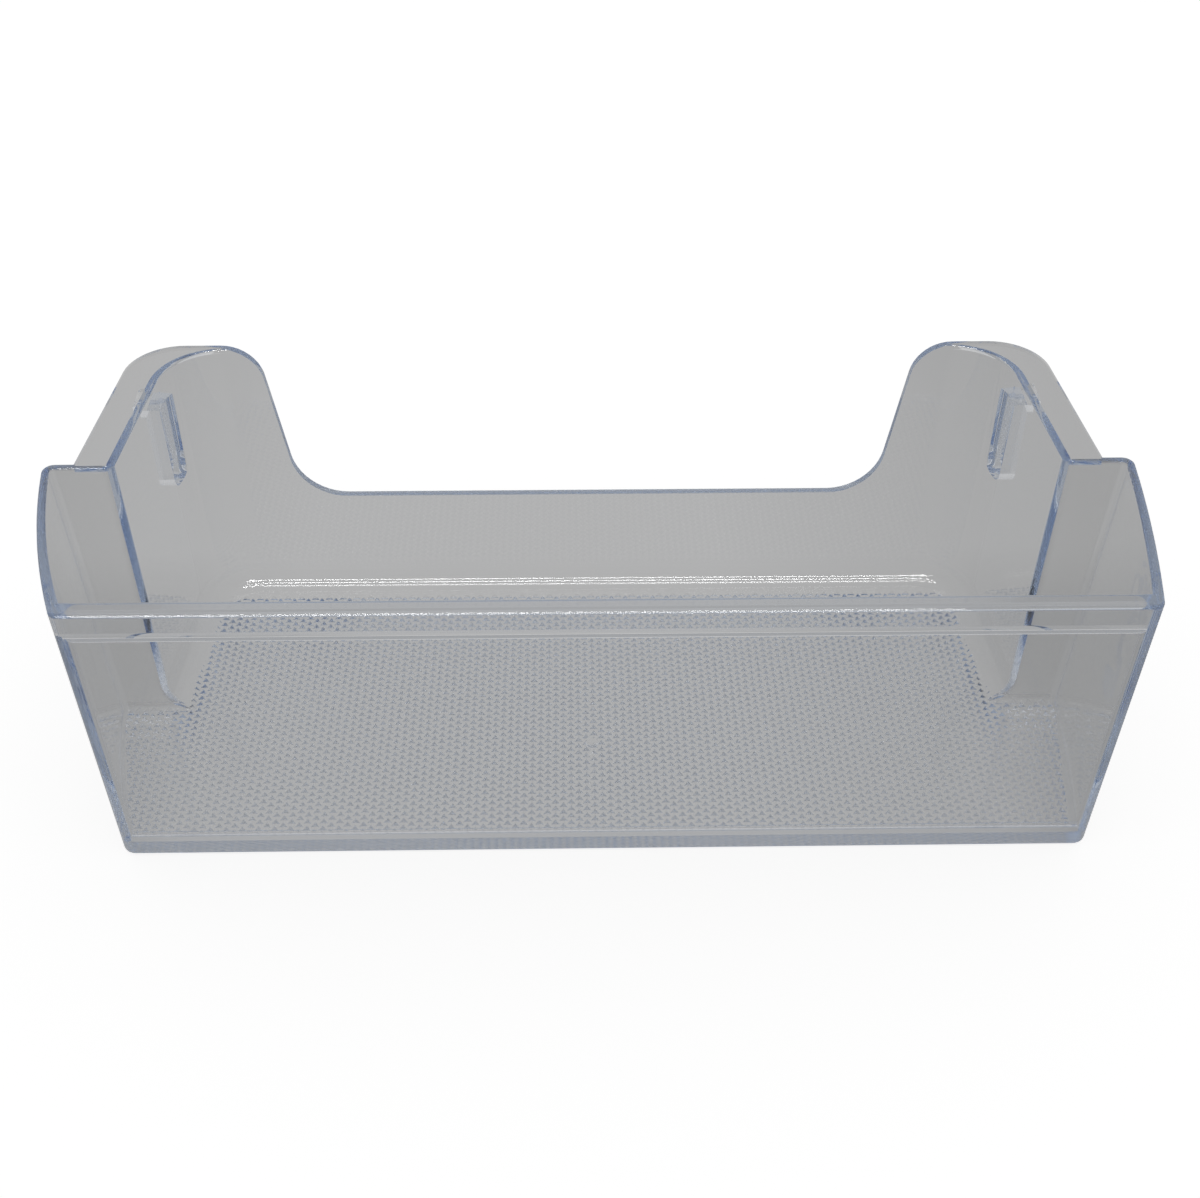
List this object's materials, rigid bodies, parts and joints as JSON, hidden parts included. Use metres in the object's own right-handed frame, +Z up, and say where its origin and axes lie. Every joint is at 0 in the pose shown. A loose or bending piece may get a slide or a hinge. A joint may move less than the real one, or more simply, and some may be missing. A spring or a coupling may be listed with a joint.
{
  "type": "fridge door shelf",
  "caption": "Clear moulded fridge door bin: wide front section with a thick rail, stepped-in rear with tall flanged corners, low back wall and a hanging boss on each side.",
  "frame": {"origin": "middle of the overall box, on the level of the underside", "axes": "+X along the width to the right as seen from the front, +Y towards the fridge door, +Z up"},
  "size_m": [0.3441, 0.1436, 0.1056],
  "materials": {
    "clear_plastic": "clear gloss polystyrene, faintly blue through its thick edges, with a fine texture on the floor"
  },
  "bodies": {
    "root": {"door_shelf": "clear_plastic"}
  },
  "joints": []
}
